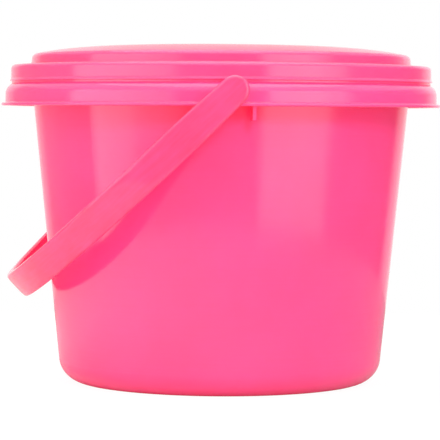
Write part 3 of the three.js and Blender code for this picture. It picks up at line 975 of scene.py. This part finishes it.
# what the gloss shows all round the bucket
def makeRing():
    bm = bmesh.new()
    ends = [bm.verts.new((stage["ringRadius"], 0, side * stage["ringReach"])) for side in (-1, 1)]
    post = bm.edges.new(ends)
    bmesh.ops.spin(bm, geom=[*ends, post], cent=(0, 0, 0), axis=(0, 0, 1), angle=fullTurn,
                   steps=128, use_merge=True)
    material, tree = emptyMaterial("grey studio cloth and soft boxes")
    place = addNode(tree, "ShaderNodeTexCoord").outputs["Object"]
    # the camera's side is turned to +x, where the radial gradient is at its half
    turned = addNode(tree, "ShaderNodeMapping", {"Vector": place},
                     {"Rotation": (0, 0, quarterTurn - math.radians(camera["azimuth"]))})
    angle = addNode(tree, "ShaderNodeTexGradient", {"Vector": turned.outputs["Vector"]},
                    gradient_type="RADIAL").outputs["Fac"]
    height = addNode(tree, "ShaderNodeSeparateXYZ", {"Vector": place}).outputs["Z"]
    colour = levelRamp(tree, angle, stage["ringLow"])
    for name in ("Middle", "High", "Plain"):
        start, end = stage["ring" + name + "Fade"]
        share = addNode(tree, "ShaderNodeMapRange", {"Value": height},
                        {"From Min": start * mm, "From Max": end * mm})
        colour = addNode(tree, "ShaderNodeMix",
                         {"Factor": share.outputs["Result"], "A": colour,
                          "B": levelRamp(tree, angle, stage["ring" + name])},
                         data_type="RGBA").outputs["Result"]
    # the levels are what the gloss shows, and the light that the ring gives is even
    even = lights["fill"] / stage["ringTop"]
    colour = addNode(tree, "ShaderNodeMix", {"Factor": seenDirectly(tree), "B": colour},
                     {"A": (even, even, even, 1)}, data_type="RGBA")
    glow = addNode(tree, "ShaderNodeEmission", {"Color": colour.outputs["Result"]},
                   {"Strength": stage["ringTop"]})
    addNode(tree, "ShaderNodeOutputMaterial", {"Surface": glow.outputs[0]})
    ring = stageObject("studio_ring", bm, material)
    ring.visible_camera = False
    ring.visible_transmission = False


# a soft box overhead, of which only the gloss shows anything: the light lines on rounded edges
def makeCeiling():
    bm = bmesh.new()
    bmesh.ops.create_circle(bm, cap_ends=True, radius=stage["ceilingRadius"], segments=96)
    bmesh.ops.translate(bm, vec=(0, 0, stage["ceilingHeight"]), verts=bm.verts[:])
    material, tree = emptyMaterial("overhead soft box")
    glow = addNode(tree, "ShaderNodeEmission", sockets={"Strength": stage["ceilingLevel"]})
    addNode(tree, "ShaderNodeOutputMaterial", {"Surface": glow.outputs[0]})
    box = stageObject("overhead_soft_box", bm, material)
    box.visible_camera = False
    box.visible_diffuse = False
    box.visible_shadow = False


lights = {
    "fill": 1.1,
    "keyPlace": (283.0, -1219.0, 640.0),
    "keyAim": (0.0, -85.0, 70.0),
    "keySize": 250.0,
    "keyLevel": 27.0,  # how bright its face is, 1 being white
}


# the one lamp, in front and to the right: it casts the strap's shadow and doesn't show in the gloss
def makeKeyLight():
    lamp = bpy.data.lights.new("key_soft_box", "AREA")
    lamp.shape = "SQUARE"
    lamp.size = lights["keySize"] * mm
    lamp.energy = lights["keyLevel"] * math.pi * lamp.size ** 2
    box = bpy.data.objects.new("key_soft_box", lamp)
    bpy.context.scene.collection.objects.link(box)
    place = Vector(lights["keyPlace"])
    towards = Vector(lights["keyAim"]) - place
    box.location = place * mm
    box.rotation_euler = towards.to_track_quat("-Z", "Y").to_euler()
    box.visible_camera = False
    box.visible_glossy = False
    print("lit by", box.name)


# white to the camera and in the gloss, and an even light for the rest
def makeWorld():
    world = bpy.data.worlds.new("white surround")
    bpy.context.scene.world = world
    world.use_nodes = True
    tree = world.node_tree
    tree.nodes.clear()
    strength = addNode(tree, "ShaderNodeMapRange", {"Value": seenDirectly(tree)},
                       {"To Min": lights["fill"], "To Max": 1.0})
    sky = addNode(tree, "ShaderNodeBackground", {"Strength": strength.outputs["Result"]},
                  {"Color": (1, 1, 1, 1)})
    addNode(tree, "ShaderNodeOutputWorld", {"Surface": sky.outputs[0]})
    print("lit by", world.name)


# fitted to the outline in the photograph; the angles are in degrees
camera = {
    "distance": 1183.0,
    "eyeHeight": 133.35,
    "azimuth": -3.25,
    "pitch": 2.534,
    "yaw": 0.008,
    "roll": 0.34,
    "focalPixels": 2350.0,
    "imagePixels": 440.0,
    "sensor": 36.0,
    "clip": (50.0, 20000.0),
}


def makeCamera():
    data = bpy.data.cameras.new("camera")
    data.sensor_width = camera["sensor"]
    data.lens = camera["focalPixels"] / camera["imagePixels"] * camera["sensor"]
    data.clip_start, data.clip_end = [mm * reach for reach in camera["clip"]]
    eye = bpy.data.objects.new("camera", data)
    bpy.context.scene.collection.objects.link(eye)
    turn = math.radians(camera["azimuth"])
    ahead = Vector((-math.sin(turn), math.cos(turn), 0))
    eye.location = (ahead * -camera["distance"] + Vector((0, 0, camera["eyeHeight"]))) * mm
    ahead.rotate(Matrix.Rotation(math.radians(camera["yaw"]), 3, "Z"))
    ahead.z = -math.tan(math.radians(camera["pitch"]))
    aim = ahead.to_track_quat("-Z", "Y").to_matrix()
    roll = Matrix.Rotation(math.radians(camera["roll"]), 3, "Z")
    eye.rotation_euler = (aim @ roll).to_euler()
    bpy.context.scene.camera = eye
    print("placed the camera", camera["distance"], "mm from the bucket's axis")


pinkPolypropylene = mouldedPolypropylene("glossy pink polypropylene", pinkLook)
lidPolypropylene = mouldedPolypropylene("glossy pink polypropylene lid", lidLook)
handlePolypropylene = mouldedPolypropylene("glossy pink polypropylene strap", handleLook)
whitePolypropylene = mouldedPolypropylene("satin white polypropylene", whiteLook)
makePail(pinkPolypropylene)
makeHandle(handlePolypropylene)
makeLid(lidPolypropylene)
makeTray(whitePolypropylene)
makeDivider(pinkPolypropylene)
makeTable()
makeRing()
makeCeiling()
makeKeyLight()
makeWorld()
makeCamera()
bpy.context.scene.view_settings.view_transform = "Standard"
